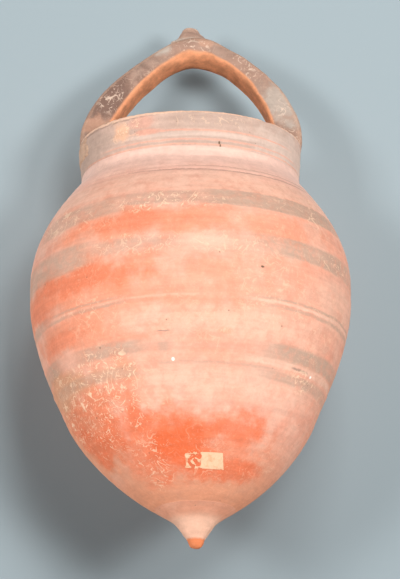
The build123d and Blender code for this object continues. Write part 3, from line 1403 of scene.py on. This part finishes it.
@dataclass
class Ground:
    """The clouds of one clay, which everything on it shares.

    Attributes:
        nodes: the material's writer.
        size: how coarse the clouds are, 1 for the body.
        waver: how far rings waver, in millimetres.
        broad: clouds as wide as a hand.
        clouds: clouds as wide as a thumb.
        mottle: the wear of paint and the unevenness of the skin.
        speckle: the grain of the clay.
        streaks: fine lines round the jar.
        brush: the strokes of a brush or cloth.
        height: the height in millimetres, wavering as hand-drawn rings do.
    """

    nodes: NodeWriter
    size: float
    waver: float

    def __post_init__(self) -> None:
        """Add the textures and bend the height with two of them."""
        nodes, fine, reach = self.nodes, 1.0 / self.size, self.waver
        self.broad = nodes.noise(26.0 * fine, detail=4.0, seed=1.0)
        self.clouds = nodes.noise(85.0 * fine, detail=5.0, rough=0.6, seed=2.0)
        self.mottle = nodes.noise(240.0 * fine, detail=5.0, rough=0.64, warp=0.5, seed=3.0)
        self.speckle = nodes.noise(900.0, detail=4.0, rough=0.7, seed=4.0)
        self.streaks = nodes.noise(500.0, Grain.TURNED, 4.0, 0.6, seed=5.0)
        self.brush = nodes.noise(300.0, Grain.DRAGGED, 4.0, 0.62, seed=6.0)
        bends = [nodes.rise(texture, 0.2, 0.8, -reach, reach) for texture in (self.clouds, self.mottle)]
        self.height = nodes.total(nodes.height, *bends)

    def cover(self, places: Iterable[Band | Blotch]) -> Socket:
        """Draw several places together."""
        return self.nodes.highest(*[place.mask(self.nodes, self) for place in places])


@dataclass(frozen=True)
class Clay:
    """A fired clay with its stains, paint, root-marks, grain and chips.

    Attributes:
        name: the material's name.
        base: its colour.
        second: the colour of its paler clouds.
        warm: the colour that it takes in broad patches.
        warmth: how strong those patches are.
        left_warmth: how much stronger they are on the left.
        stains: what lies over it, the lowest first.
        rooted: where roots have marked it.
        rooted_all: how strong root-marks are elsewhere.
        root: the colour of root-marks.
        chips: where it has dark chips and cracks.
        chip: the colour of chips and pits.
        lime: where it has white specks.
        speck: the colour of those specks.
        inner: the colour of faces that look back at the centre.
        centre: that centre.
        spread: how much each axis counts for it.
        inner_edge: from which to which facing the inner colour gives way.
        outer: the colour of faces that look straight away from the centre; on the handle, paler clay there
            and in part a painted highlight along the strap's outer edge.
        rough: its roughness.
        gloss: its specular level.
        grain_depth: how deep its grain is.
        size: how coarse its clouds are.
        waver: how far rings waver, in millimetres.
    """

    name: str
    base: Colour
    second: Colour
    warm: Colour = (0.68, 0.25, 0.145)
    warmth: float = 0.0
    left_warmth: float = 0.0
    stains: tuple[Stain, ...] = ()
    rooted: tuple[Blotch, ...] = ()
    rooted_all: float = 0.3
    root: Colour = (0.80, 0.55, 0.38)
    chips: tuple[Blotch, ...] = ()
    chip: Colour = (0.16, 0.10, 0.06)
    lime: tuple[Blotch, ...] = ()
    speck: Colour = (0.90, 0.84, 0.78)
    inner: Optional[Colour] = None
    centre: Place = (0.0, 0.0, 0.11)
    spread: Place = (1.0, 1.0, 1.0)
    inner_edge: Point = (-0.15, 0.1)
    outer: Optional[Colour] = None
    rough: float = 0.82
    gloss: float = 0.28
    grain_depth: float = 0.25 * MM
    size: float = 1.0
    waver: float = 0.3

    def material(self) -> bpy.types.Material:
        """Write the finish, from the clay up to what lies on it.

        Returns:
            The material.
        """
        nodes = NodeWriter(self.name)
        ground = Ground(nodes, self.size, self.waver)
        marks, pit = self.root_marks(nodes, ground), self.pits(nodes, ground)
        colour = self.stained(nodes, ground)
        colour = nodes.mix(nodes.product(marks, 0.85), colour, self.root)
        colour = nodes.mix(nodes.rise(ground.speckle, 0.56, 0.72, 0.0, 0.22), colour, self.second)
        colour = nodes.mix(pit, colour, self.chip)
        if self.lime:
            colour = nodes.mix(ground.cover(self.lime), colour, self.speck)
        colour = self.sided(nodes, ground, colour)
        tone = nodes.total(
            nodes.rise(ground.streaks, 0.3, 0.7, -0.055, 0.055),
            nodes.rise(ground.mottle, 0.3, 0.7, -0.055, 0.055),
            nodes.rise(ground.speckle, 0.3, 0.7, -0.035, 0.035),
            1.0,
        )
        relief = nodes.total(
            nodes.product(ground.speckle, 0.30),
            nodes.product(ground.mottle, 0.40),
            nodes.product(ground.streaks, 0.12),
            nodes.product(marks, 0.22),
            nodes.product(pit, -0.6),
        )
        return nodes.finish(nodes.shade(colour, tone), relief, self.grain_depth, self.rough, self.gloss)

    def stained(self, nodes: NodeWriter, ground: Ground) -> Socket:
        """Colour the clay itself and lay its stains over it.

        Args:
            nodes: the material's writer.
            ground: the clay's clouds.

        Returns:
            The colour.
        """
        colour = nodes.mix(nodes.rise(ground.clouds, 0.34, 0.66, 0.0, 0.85), self.base, self.second)
        if self.warmth:
            left = nodes.rise(nodes.angle, -50.0, -5.0, self.left_warmth, 0.0)
            left = nodes.product(left, nodes.rise(nodes.angle, -175.0, -120.0))
            warm = nodes.product(nodes.rise(ground.broad, 0.36, 0.66), nodes.total(left, self.warmth))
            colour = nodes.mix(warm, colour, self.warm)
        for stain in self.stains:
            share = nodes.product(ground.cover(stain.places), stain.cover)
            if stain.brushed:
                thin = nodes.rise(ground.brush, 0.26, 0.60, 1.0 - stain.brushed, 1.0)
                share = nodes.product(share, thin)
            colour = nodes.mix(share, colour, stain.colour)
        return colour

    def pits(self, nodes: NodeWriter, ground: Ground) -> Value:
        """Scatter small pits and add the chips.

        Args:
            nodes: the material's writer.
            ground: the clay's clouds.

        Returns:
            Where they are, from 0 to 1.
        """
        distance, chance = nodes.cells(260.0 / self.size, 11.0)
        pit = nodes.product(nodes.rise(distance, 0.05, 0.13, 0.6, 0.0), nodes.rise(chance, 0.93, 0.94))
        return nodes.highest(pit, ground.cover(self.chips)) if self.chips else pit

    def sided(self, nodes: NodeWriter, ground: Ground, colour: Socket) -> Socket:
        """Give the faces that look in or out their own colour.

        Args:
            nodes: the material's writer.
            ground: the clay's clouds.
            colour: the colour so far.

        Returns:
            The new colour.
        """
        if not self.inner and not self.outer:
            return colour
        uneven = nodes.rise(ground.clouds, 0.3, 0.7, -0.06, 0.06)
        facing = nodes.total(nodes.facing(self.centre, self.spread), uneven)
        # faces that look out get the outer colour: on the handle paler clay, and in part a painted
        # highlight along the strap's outer edge
        if self.outer:
            colour = nodes.mix(nodes.rise(facing, 0.25, 0.6, 0.0, 0.4), colour, self.outer)
        if self.inner:
            deeper = nodes.shade(self.inner, nodes.rise(ground.clouds, 0.3, 0.7, 0.78, 1.15))
            colour = nodes.mix(nodes.rise(facing, *self.inner_edge, 1.0, 0.0), colour, deeper)
        return colour

    def root_marks(self, nodes: NodeWriter, ground: Ground) -> Value:
        """Draw the root-marks and scuffs.

        Args:
            nodes: the material's writer.
            ground: the clay's clouds.

        Returns:
            Where they are, from 0 to 1.
        """
        share = nodes.rise(ground.broad, 0.50, 0.66, 0.15 * self.rooted_all, self.rooted_all)
        if self.rooted:
            share = nodes.highest(share, ground.cover(self.rooted))
        sizes = ((120.0, 9.0), (200.0, 12.0), (310.0, 15.0))
        marks = nodes.highest(*[nodes.squiggles(scale, seed) for scale, seed in sizes])
        scuffs = nodes.noise(430.0, detail=4.0, rough=0.6, warp=0.8, seed=18.0)
        return nodes.product(share, nodes.highest(marks, nodes.rise(scuffs, 0.60, 0.70, 0.0, 0.6)))


@dataclass(frozen=True)
class OldPaper:
    """Yellowed label paper with foxing.

    Attributes:
        name: the material's name.
        paper: its colour.
        stain: the colour of the foxing.
    """

    name: str = "label_paper"
    paper: Colour = (0.80, 0.50, 0.32)
    stain: Colour = (0.66, 0.36, 0.20)

    def material(self) -> bpy.types.Material:
        """Write the finish.

        Returns:
            The material.
        """
        nodes = NodeWriter(self.name)
        fibre = nodes.noise(2600.0, detail=3.0, rough=0.7, seed=31.0)
        foxing = nodes.noise(420.0, detail=4.0, rough=0.6, seed=32.0)
        colour = nodes.mix(nodes.rise(foxing, 0.46, 0.68, 0.0, 0.8), self.paper, self.stain)
        colour = nodes.shade(colour, nodes.rise(fibre, 0.3, 0.7, 0.94, 1.06))
        return nodes.finish(colour, fibre, 0.05 * MM, 0.75, 0.3)


ORANGE: Colour = (0.68, 0.255, 0.15)
DEEP: Colour = (0.66, 0.195, 0.10)
CREAM: Colour = (0.69, 0.43, 0.325)
# dark lines and nicks; the line under the lip on the neck is painted shade in its groove
LINE: Colour = (0.28, 0.18, 0.14)
BODY_CLAY = Clay(
    "body_clay",
    (0.67, 0.31, 0.218),
    (0.685, 0.40, 0.303),
    warmth=0.25,
    left_warmth=0.45,
    stains=(
        Stain(
            ORANGE,
            (
                Blotch(-14.0, 129.5, 42.0, 9.0, 0.9, 0.7),
                Blotch(32.0, 130.0, 26.0, 8.0, 0.6, 0.7),
                Blotch(-46.0, 106.0, 44.0, 12.0, 0.95, 0.7),
                Blotch(-80.0, 104.0, 28.0, 9.5, 0.9, 0.6),
                Blotch(-54.0, 86.0, 30.0, 8.0, 0.85, 0.7),
                Blotch(-30.0, 98.0, 26.0, 22.0, 0.55, 0.9),
                Blotch(-30.0, 57.0, 24.0, 8.0, 0.55, 0.9),
                Blotch(-2.0, 98.0, 24.0, 14.0, 0.35, 0.9),
                Blotch(13.5, 81.0, 3.4, 1.7, 0.7, 0.4),
                Blotch(7.0, 161.0, 11.0, 2.4, 0.45, 0.5),
                Blotch(125.0, 128.0, 45.0, 10.0, 0.8, 0.8),
                Blotch(-150.0, 105.0, 40.0, 12.0, 0.85, 0.8),
                Blotch(165.0, 45.0, 45.0, 14.0, 0.85, 0.8),
                Blotch(110.0, 84.0, 24.0, 9.0, 0.55, 0.8),
            ),
            brushed=0.25,
        ),
        Stain(
            (0.62, 0.255, 0.14),
            (Band(-40.0, 32.0, edge=14.0, wear=0.1), Blotch(-70.0, 44.0, 40.0, 22.0, 0.9, 0.7)),
            0.85,
        ),
        Stain(
            DEEP,
            (
                Blotch(-56.0, 52.0, 32.0, 17.0, 0.8, 0.8),
                Blotch(-16.0, 37.0, 44.0, 15.0, 1.0, 0.6),
                Blotch(26.0, 36.0, 28.0, 12.0, 0.8, 0.8),
            ),
            brushed=0.25,
        ),
        Stain(
            (0.67, 0.13, 0.045),
            (
                Blotch(-44.0, 107.0, 28.0, 6.5, 0.5, 1.0),
                Blotch(-72.0, 102.0, 22.0, 7.0, 0.35, 0.9),
                Blotch(-22.0, 130.0, 22.0, 5.0, 0.35, 0.9),
                Blotch(-9.0, 36.0, 22.0, 11.5, 1.0, 0.6),
                Blotch(3.0, 29.0, 20.0, 6.0, 0.7, 0.9),
                Blotch(-34.0, 44.0, 22.0, 9.0, 0.5, 0.8),
                Blotch(26.0, 43.0, 18.0, 8.0, 0.6, 0.8),
                Blotch(36.0, 28.0, 26.0, 5.0, 0.6, 0.8),
                Blotch(-66.0, 40.0, 18.0, 9.0, 0.6, 0.8),
                Blotch(-58.0, 84.0, 18.0, 4.0, 0.3, 1.0),
                Blotch(-145.0, 104.0, 26.0, 7.0, 0.7, 0.8),
                Blotch(160.0, 44.0, 26.0, 9.0, 0.7, 0.8),
            ),
        ),
        Stain((0.70, 0.47, 0.395), (Band(157.0, 260.0, edge=11.0, wear=0.05),), 0.95),
        Stain(
            CREAM,
            (
                Band(69.2, 72.4, 24.0, 90.0, 0.9, 0.6, 0.0, 0.3),
                Band(94.6, 95.8, 22.0, 90.0, 0.95, 0.4, 0.0, 0.2),
                Band(145.6, 156.0, -70.0, 80.0, 0.65, 1.5, 0.0, 0.4),
                Band(94.4, 95.5, -60.0, 4.0, 0.45, 0.4, 0.02, 0.6),
                Blotch(68.0, 102.0, 20.0, 14.0, 0.6, 0.9),
                Band(80.0, 91.5, -30.0, 60.0, 0.45, 2.0, 0.0, 0.5),
                Band(55.0, 66.0, -24.0, 60.0, 0.5, 3.0, 0.0, 0.5),
                Blotch(6.0, 119.0, 12.0, 5.0, 0.8, 0.8),
            ),
            brushed=0.5,
        ),
        Stain(
            (0.56, 0.28, 0.165),
            (Blotch(-72.0, 66.0, 26.0, 9.0, 0.9, 0.8), Blotch(-40.0, 66.0, 18.0, 4.0, 0.5, 0.8)),
        ),
        Stain(
            (0.42, 0.285, 0.215),
            (
                Band(137.3, 145.4, 4.0, 74.0, 0.95, 0.5, 0.0, 0.3),
                Band(138.0, 144.6, -30.0, 8.0, 0.7, 0.8, 0.0, 0.7),
                Band(133.8, 143.2, -68.0, -26.0, 0.68, 1.2, 0.09, 0.5),
                Band(115.8, 124.6, 22.0, 80.0, 0.9, 0.9, 0.0, 0.65, 16.0),
                Band(115.6, 122.4, -40.0, -4.0, 0.6, 1.0, 0.0, 0.75),
                Band(112.2, 123.4, -92.0, -38.0, 0.8, 1.4, 0.03, 0.5),
                Band(96.1, 97.2, 22.0, 88.0, 0.8, 0.4, 0.0, 0.6),
                Band(92.8, 94.2, 26.0, 88.0, 0.75, 0.5, 0.0, 0.6),
                Band(93.0, 94.2, -66.0, -22.0, 0.7, 0.5, 0.02, 0.6),
                Band(95.6, 96.5, -62.0, -24.0, 0.6, 0.4, 0.02, 0.6),
                Band(72.6, 79.0, 31.0, 84.0, 0.95, 0.9, 0.02, 0.55, 12.0),
                Band(72.4, 78.2, -51.0, -18.0, 0.85, 1.1, 0.0, 0.5),
                Band(72.2, 76.4, -13.0, -8.0, 0.7, 0.9, 0.0, 0.4, 2.0),
                Band(73.4, 75.6, -6.0, 40.0, 0.35, 0.6, 0.0, 0.6),
                Band(63.6, 67.8, 30.0, 88.0, 0.75, 0.9, 0.0, 0.6, 12.0),
                Band(63.2, 67.6, -78.0, -20.0, 0.6, 1.1, 0.0, 0.75),
                Band(67.4, 68.5, -15.0, 42.0, 0.6, 0.4, 0.0, 0.4),
                Band(115.0, 124.4, 84.0, 200.0, 0.85, 0.9, 0.0, 0.6),
                Band(115.0, 124.0, -200.0, -92.0, 0.85, 0.9, 0.0, 0.6),
                Band(137.0, 145.2, 78.0, 200.0, 0.9, 0.8, 0.0, 0.5),
                Band(137.2, 145.0, -200.0, -72.0, 0.8, 0.9, 0.0, 0.7),
                Band(96.0, 97.3, 92.0, 200.0, 0.9, 0.4, 0.0, 0.4),
                Band(92.6, 94.4, 92.0, 200.0, 0.85, 0.5, 0.0, 0.4),
                Band(92.6, 96.8, -200.0, -66.0, 0.7, 0.8, 0.0, 0.6),
                Band(72.6, 79.0, 88.0, 200.0, 0.85, 0.8, 0.0, 0.5),
                Band(72.6, 78.6, -200.0, -66.0, 0.85, 0.9, 0.0, 0.5),
                Band(63.4, 67.8, 92.0, 200.0, 0.7, 0.8, 0.0, 0.6),
            ),
            brushed=0.4,
        ),
        Stain(
            LINE,
            (
                Band(159.0, 159.6, -6.0, 72.0, 0.45, 0.3, 0.0, 0.5),
                Band(156.6, 157.3, -30.0, 66.0, 0.6, 0.35, 0.0, 0.4),
                Band(156.6, 157.4, 96.0, 200.0, 0.5, 0.35, 0.0, 0.4),
                Band(69.9, 70.8, 47.0, 57.0, 0.9, 0.4, 0.0, 0.1, 1.5),
                Band(80.3, 80.8, -12.5, -8.0, 0.9, 0.25, 0.0, 0.0, 1.0),
            ),
        ),
    ),
    rooted=(
        Blotch(-10.0, 139.5, 24.0, 5.5, 1.0, 0.6),
        Blotch(-52.0, 56.0, 40.0, 20.0, 0.95, 0.8),
        Blotch(-42.0, 69.0, 22.0, 8.0, 1.0, 0.6),
        Blotch(62.0, 120.0, 13.0, 5.5, 0.9, 0.6),
        Blotch(14.0, 119.0, 22.0, 6.5, 0.5, 0.7),
        Blotch(-20.0, 119.5, 22.0, 6.0, 0.5, 0.7),
        Blotch(-42.0, 94.0, 16.0, 4.0, 0.6, 0.7),
        Blotch(54.0, 142.0, 7.0, 11.0, 0.8, 0.5, 0.45, 0.8),
        Blotch(58.0, 66.0, 14.0, 6.0, 0.9, 0.6),
        Blotch(-60.0, 138.0, 26.0, 9.0, 0.7, 0.7),
        Blotch(-26.0, 32.0, 18.0, 12.0, 0.7, 0.8),
        Blotch(150.0, 70.0, 40.0, 22.0, 0.9, 0.9),
        Blotch(-120.0, 132.0, 36.0, 12.0, 0.9, 0.9),
    ),
    rooted_all=0.35,
    chips=(
        Blotch(26.0, 109.5, 0.8, 0.6, 1.0, 0.8),
        Blotch(-38.0, 77.0, 0.5, 0.6, 0.6, 0.3),
        Blotch(-130.0, 100.0, 0.9, 1.0, 1.0, 0.3),
    ),
    lime=(
        Blotch(-7.0, 69.0, 0.8, 0.9, 1.0, 0.3),
        Blotch(60.0, 69.5, 0.8, 0.8, 0.9, 0.3),
        Blotch(98.0, 58.0, 0.9, 1.0, 1.0, 0.3),
    ),
    inner=(0.60, 0.315, 0.20),
)
NECK_CLAY = Clay(
    "neck_clay",
    (0.48, 0.325, 0.262),
    (0.55, 0.38, 0.31),
    size=0.7,
    waver=0.18,
    stains=(
        Stain(
            (0.38, 0.285, 0.235),
            (
                Band(179.4, 186.4, -14.0, 64.0, 0.6, 0.8, 0.0, 0.5, 12.0),
                Band(174.8, 177.6, -24.0, 70.0, 0.6, 0.4, 0.0, 0.5, 12.0),
                Band(172.4, 173.4, -34.0, 70.0, 0.65, 0.3, 0.0, 0.4),
                Band(179.0, 186.0, 96.0, 200.0, 0.5, 1.0, 0.0, 0.5),
                Band(174.4, 178.0, -200.0, -80.0, 0.4, 0.5, 0.0, 0.5),
                Blotch(-66.0, 178.0, 30.0, 14.0, 0.5, 0.8),
            ),
            brushed=0.4,
        ),
        Stain(
            (0.64, 0.50, 0.43),
            (Blotch(66.0, 176.0, 34.0, 12.0, 0.6, 0.8), Blotch(10.0, 176.5, 60.0, 1.4, 0.5, 0.6)),
        ),
        Stain(
            (0.66, 0.31, 0.225),
            (
                Band(178.0, 178.7, -30.0, 60.0, 0.75, 0.25, 0.0, 0.4),
                Band(173.7, 174.4, -50.0, 70.0, 0.6, 0.25, 0.0, 0.4),
                Band(171.5, 172.2, -70.0, 80.0, 0.7, 0.3, 0.0, 0.4),
                Blotch(-22.0, 178.6, 9.0, 1.6, 0.7, 0.5),
                Blotch(-26.0, 183.5, 12.0, 3.0, 0.5, 0.8),
                Band(178.0, 178.7, 100.0, 200.0, 0.6, 0.25, 0.0, 0.4),
            ),
        ),
        Stain((0.74, 0.42, 0.27), (Blotch(-38.0, 181.0, 6.0, 6.0, 0.8, 1.0),)),
        # painted shade: a dark line in the groove under the lip, on the left
        Stain(LINE, (Band(185.6, 186.3, -92.0, -20.0, 0.7, 0.25, 0.0, 0.8),)),
        Stain((0.72, 0.46, 0.33), (Band(186.4, 200.0, edge=0.3, wear=0.15),)),
    ),
    rooted=(Blotch(-36.0, 181.0, 10.0, 7.0, 1.0, 0.8), Blotch(12.0, 183.0, 22.0, 3.0, 0.45, 0.8)),
    chips=(Blotch(15.0, 172.8, 0.6, 0.9, 1.0, 0.3), Blotch(15.6, 171.2, 0.5, 1.3, 1.0, 0.3)),
    inner=(0.60, 0.33, 0.215),
)
TOE_CLAY = Clay(
    "toe_clay",
    (0.61, 0.265, 0.165),
    (0.65, 0.315, 0.21),
    size=0.8,
    rooted_all=0.2,
    stains=(
        Stain((0.66, 0.395, 0.285), (Band(-10.0, 12.6, edge=1.8, wear=0.0),), 0.95),
        Stain((0.62, 0.19, 0.075), (Blotch(0.0, 0.0, 400.0, 3.5, 1.0, 0.35, 0.8),)),
    ),
)
HANDLE_CLAY = Clay(
    "handle_clay",
    (0.255, 0.175, 0.137),
    (0.345, 0.237, 0.187),
    warm=(0.40, 0.215, 0.15),
    warmth=0.4,
    size=0.5,
    grain_depth=0.4 * MM,
    stains=(
        Stain((0.185, 0.11, 0.085), (Blotch(-92.0, 206.0, 44.0, 20.0, 1.0, 0.8),)),
        Stain(
            (0.42, 0.36, 0.31),
            (
                Blotch(79.0, 206.0, 5.5, 11.0, 0.75, 1.0),
                Blotch(-58.0, 233.0, 13.0, 3.4, 0.9, 0.6),
                Blotch(-40.0, 238.6, 26.0, 1.6, 0.7, 0.6),
                Blotch(101.0, 212.0, 8.0, 12.0, 0.7, 0.8),
            ),
        ),
        Stain(
            (0.60, 0.33, 0.22),
            (Blotch(40.0, 236.0, 24.0, 3.0, 0.5, 0.9), Blotch(-80.0, 196.0, 6.0, 5.0, 0.5, 1.0)),
        ),
    ),
    rooted_all=0.8,
    root=(0.70, 0.53, 0.42),
    inner=(0.80, 0.35, 0.18),
    # paler outer faces of the strap: bare clay there, and in part a painted highlight along its outer edge
    outer=(0.56, 0.34, 0.24),
    centre=(0.0, 0.0, 0.192),
    spread=(1.0, 0.0, 1.0),
    inner_edge=(-0.75, -0.35),
)
KNOB_CLAY = Clay(
    "knob_clay",
    (0.34, 0.215, 0.165),
    (0.44, 0.28, 0.21),
    size=0.35,
    grain_depth=0.4 * MM,
    stains=(
        Stain((0.52, 0.45, 0.385), (Band(200.0, 239.4, edge=1.0, wear=0.5),), 0.7),
        Stain((0.68, 0.47, 0.36), (Blotch(0.0, 247.5, 400.0, 3.6, 0.9, 0.6),)),
    ),
    rooted_all=0.8,
)
LUTING_CLAY = Clay(
    "luting_clay",
    (0.46, 0.29, 0.205),
    (0.56, 0.37, 0.26),
    size=0.5,
    grain_depth=0.4 * MM,
    rooted_all=1.0,
)


# ---------------------------------------------------------------- stage
@dataclass(frozen=True)
class Lamp:
    """A soft square lamp.

    Attributes:
        name: its name.
        away: where it stands from the jar's middle, as metres right, up and back in the picture.
        size: its side.
        power: its power in watts.
        colour: its colour.
        on_sheet: whether it lights the sheet as well as the jar.
    """

    name: str
    away: Place
    size: float
    power: float
    colour: Colour = (1.0, 0.975, 0.95)
    on_sheet: bool = True


@dataclass
class Studio:
    """The camera, the pale sheet behind the lying jar and the soft light.

    Attributes:
        tilt: how much the jar's axis leans to the picture.
        middle: the place that the camera and the lamps aim at.
        distance: how far the camera stands from it.
        side_step: how far the camera stands to the right.
        lens: its focal length in millimetres.
        sensor: its width of film in millimetres.
        far: how far it sees.
        sheet_depth: how far the sheet lies behind the toe, square to the picture.
        sheet_size: the side of the sheet.
        sheet_colour: its colour.
        world_colour: the colour of the light from all round.
        world_strength: how strong that light is.
        lamps: the lamps.
    """

    tilt: float = math.radians(18.0)
    middle: Vector = field(default_factory=lambda: Vector((0.0, 0.0, 120.0 * MM)))
    distance: float = 1.8
    side_step: float = 4.3 * MM
    lens: float = 248.7
    sensor: float = 36.0
    far: float = 20.0
    sheet_depth: float = 0.107
    sheet_size: float = 2.4
    sheet_colour: Colour = (0.328, 0.40, 0.436)
    world_colour: Colour = (0.85, 0.92, 1.0)
    world_strength: float = 0.02
    lamps: tuple[Lamp, ...] = (
        Lamp("right", (0.655, 0.23, -1.33), 0.30, 11.8),
        Lamp("top_right", (0.305, 0.48, -1.39), 0.30, 8.9),
        Lamp("left", (-0.695, 0.26, -1.30), 0.30, 8.8),
        Lamp("top", (0.175, 0.95, -1.145), 0.30, 7.0),
        Lamp("limb_left", (-1.40, -0.25, -0.22), 0.7, 11.5, on_sheet=False),
        Lamp("limb_right", (1.40, -0.25, -0.25), 0.7, 8.5, on_sheet=False),
        Lamp("below", (-0.15, -1.40, -0.32), 0.7, 9.0, on_sheet=False),
        Lamp("back_left", (-0.45, 0.6, 1.35), 1.2, 14.0),
        Lamp("back_right", (0.45, 0.4, 1.35), 1.2, 10.0),
    )

    @property
    def back(self) -> Vector:
        """Give the way the camera looks."""
        return Vector((0.0, math.cos(self.tilt), math.sin(self.tilt)))

    @property
    def up(self) -> Vector:
        """Give the way up in the picture."""
        return Vector((0.0, -math.sin(self.tilt), math.cos(self.tilt)))

    def camera(self) -> None:
        """Set the camera in front of the jar, a little below its middle and looking up at it."""
        data = bpy.data.cameras.new("camera")
        data.lens = self.lens
        data.sensor_width = self.sensor
        data.clip_end = self.far
        camera = add_object("camera", data)
        camera.location = self.middle - self.back * self.distance + Vector((self.side_step, 0.0, 0.0))
        camera.rotation_euler = self.back.to_track_quat("-Z", "Y").to_euler()
        bpy.context.scene.camera = camera

    def sheet(self) -> None:
        """Lay the pale sheet that the jar's belly and lip rest on.

        It stands square to the picture, casts no shadow and is seen from its front only.
        """
        bm = bmesh.new()
        bmesh.ops.create_grid(bm, x_segments=1, y_segments=1, size=self.sheet_size / 2.0)
        across = Vector((1.0, 0.0, 0.0))
        centre = self.back * self.sheet_depth + self.up * self.middle.dot(self.up)
        for vert in bm.verts:
            vert.co = centre + across * vert.co.x + self.up * vert.co.y
        floor = mesh_object(bm, "floor", self.sheet_material())
        floor.visible_shadow = False
        floor.visible_diffuse = False

    def sheet_material(self) -> bpy.types.Material:
        """Write the sheet's matt paper, with nothing on its other side.

        Returns:
            The material.
        """
        material = bpy.data.materials.new("sheet")
        material.use_nodes = True
        tree = material.node_tree
        tree.nodes.clear()
        paper = tree.nodes.new("ShaderNodeBsdfDiffuse")
        paper.inputs["Color"].default_value = (*self.sheet_colour, 1.0)
        clear = tree.nodes.new("ShaderNodeBsdfTransparent")
        side = tree.nodes.new("ShaderNodeNewGeometry")
        choice = tree.nodes.new("ShaderNodeMixShader")
        output = tree.nodes.new("ShaderNodeOutputMaterial")
        tree.links.new(side.outputs["Backfacing"], choice.inputs[0])
        tree.links.new(paper.outputs[0], choice.inputs[1])
        tree.links.new(clear.outputs[0], choice.inputs[2])
        tree.links.new(choice.outputs[0], output.inputs["Surface"])
        return material

    def light(self) -> None:
        """Set the lamps, some of which leave the sheet alone, and the pale world."""
        unlit = bpy.data.collections.new("unlit")
        unlit.objects.link(bpy.data.objects["floor"])
        unlit.collection_objects[0].light_linking.link_state = "EXCLUDE"
        for lamp in self.lamps:
            light = self.hang(lamp)
            if not lamp.on_sheet:
                light.light_linking.receiver_collection = unlit
        world = bpy.data.worlds.new("world")
        world.use_nodes = True
        sky = world.node_tree.nodes["Background"]
        sky.inputs[0].default_value = (*self.world_colour, 1.0)
        sky.inputs[1].default_value = self.world_strength
        bpy.context.scene.world = world

    def hang(self, lamp: Lamp) -> bpy.types.Object:
        """Set one lamp, aimed at the jar's middle.

        Args:
            lamp: the lamp.

        Returns:
            Its object.
        """
        data = bpy.data.lights.new(lamp.name, "AREA")
        data.shape = "SQUARE"
        data.size = lamp.size
        data.energy = lamp.power
        data.color = lamp.colour
        right, up, back = lamp.away
        away = Vector((right, 0.0, 0.0)) + self.up * up + self.back * back
        light = add_object(lamp.name, data)
        light.location = self.middle + away
        light.rotation_euler = (-away).to_track_quat("-Z", "Y").to_euler()
        return light

    def build(self) -> None:
        """Set up the camera, the sheet and the light, and show colours as they are."""
        self.camera()
        self.sheet()
        self.light()
        bpy.context.scene.view_settings.view_transform = "Standard"


# ---------------------------------------------------------------- all together
@dataclass
class Amphora:
    """The whole jar.

    Attributes:
        outline: the wall's outline, which every piece follows.
        hand: what pushed it out of true.
    """

    outline: WallOutline = field(default_factory=WallOutline)
    hand: PottersHand = field(default_factory=PottersHand)

    def build(self) -> None:
        """Build every piece with its finish, from the toe up."""
        body = BODY_CLAY.material()
        wall = JarWall(self.outline, self.hand)
        wall.toe(TOE_CLAY.material())
        wall.lower_body(body)
        wall.upper_body(body)
        wall.neck_collar(NECK_CLAY.material())
        handle = BasketHandle(self.outline, self.hand)
        handle.strap(HANDLE_CLAY.material())
        handle.knob(KNOB_CLAY.material())
        luting = LUTING_CLAY.material()
        handle.wad(-1, luting)
        handle.wad(1, luting)
        PaperLabel(self.outline, self.hand).build(OldPaper().material())


def main() -> None:
    """Build the stage and the jar."""
    logging.basicConfig(level=logging.INFO, format="%(name)s: %(message)s")
    noise.seed_set(SEED)
    Studio().build()
    Amphora().build()


if __name__ == "__main__":
    main()
